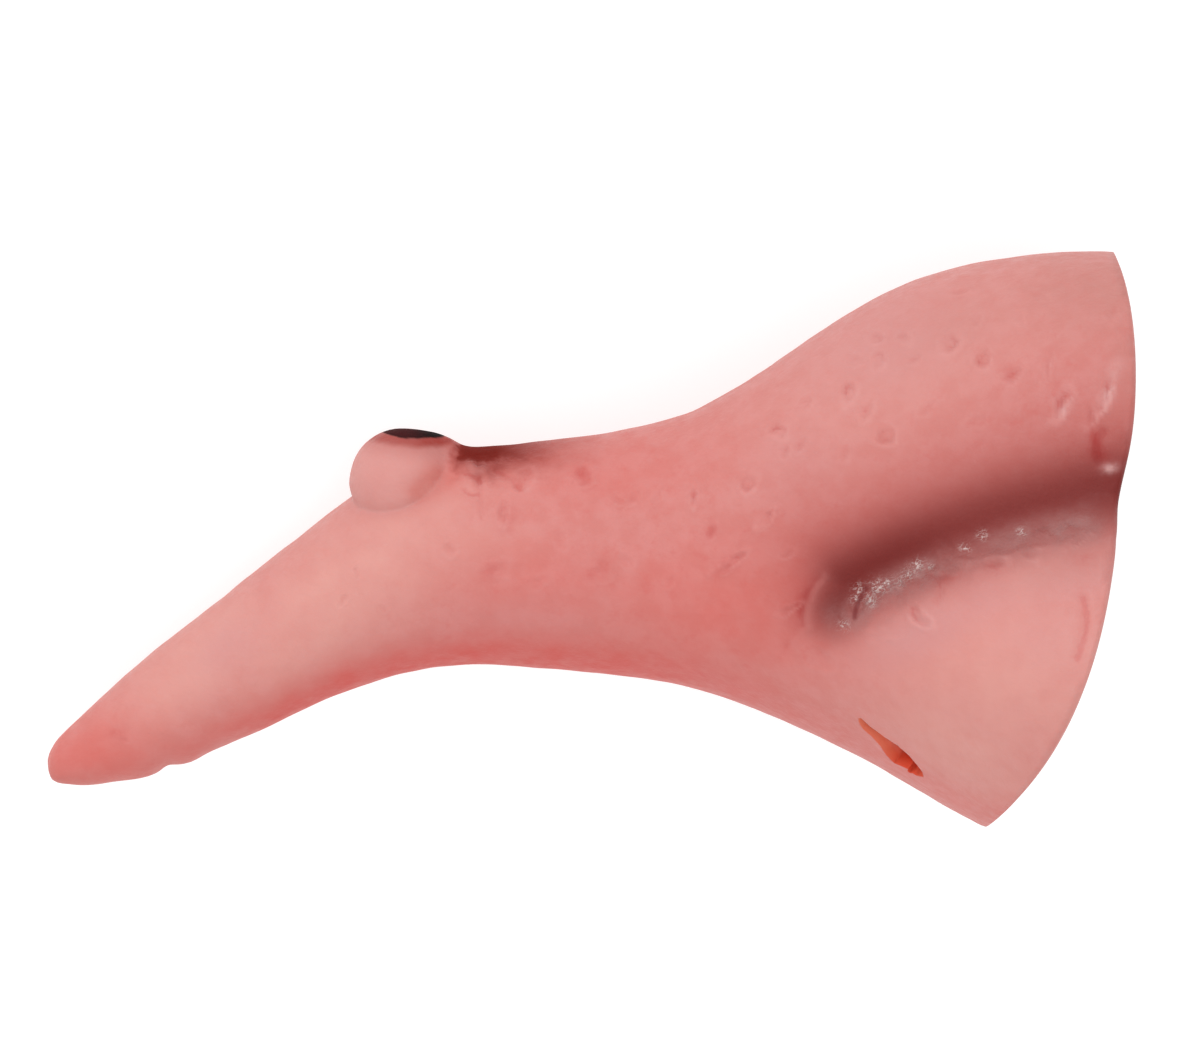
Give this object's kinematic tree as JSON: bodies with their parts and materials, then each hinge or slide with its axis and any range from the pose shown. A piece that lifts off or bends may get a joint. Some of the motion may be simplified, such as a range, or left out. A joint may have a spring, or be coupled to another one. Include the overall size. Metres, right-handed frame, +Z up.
{
  "type": "witch nose",
  "caption": "Long hooked false nose of cast latex, hollow and open at the back, with a wart on the bridge and breathing slits under the nostril wings.",
  "frame": {"origin": "on the table, under the middle of the part's box", "axes": "+X from the tip back to the open face side, +Y towards the brow edge, +Z up from the table. The nose lies on its right flank."},
  "size_m": [0.1132, 0.0608, 0.0606],
  "materials": {
    "latex": "matte skin-coloured latex with sprayed red and brown shading"
  },
  "bodies": {
    "root": {"nose_shell": "latex"}
  },
  "joints": []
}
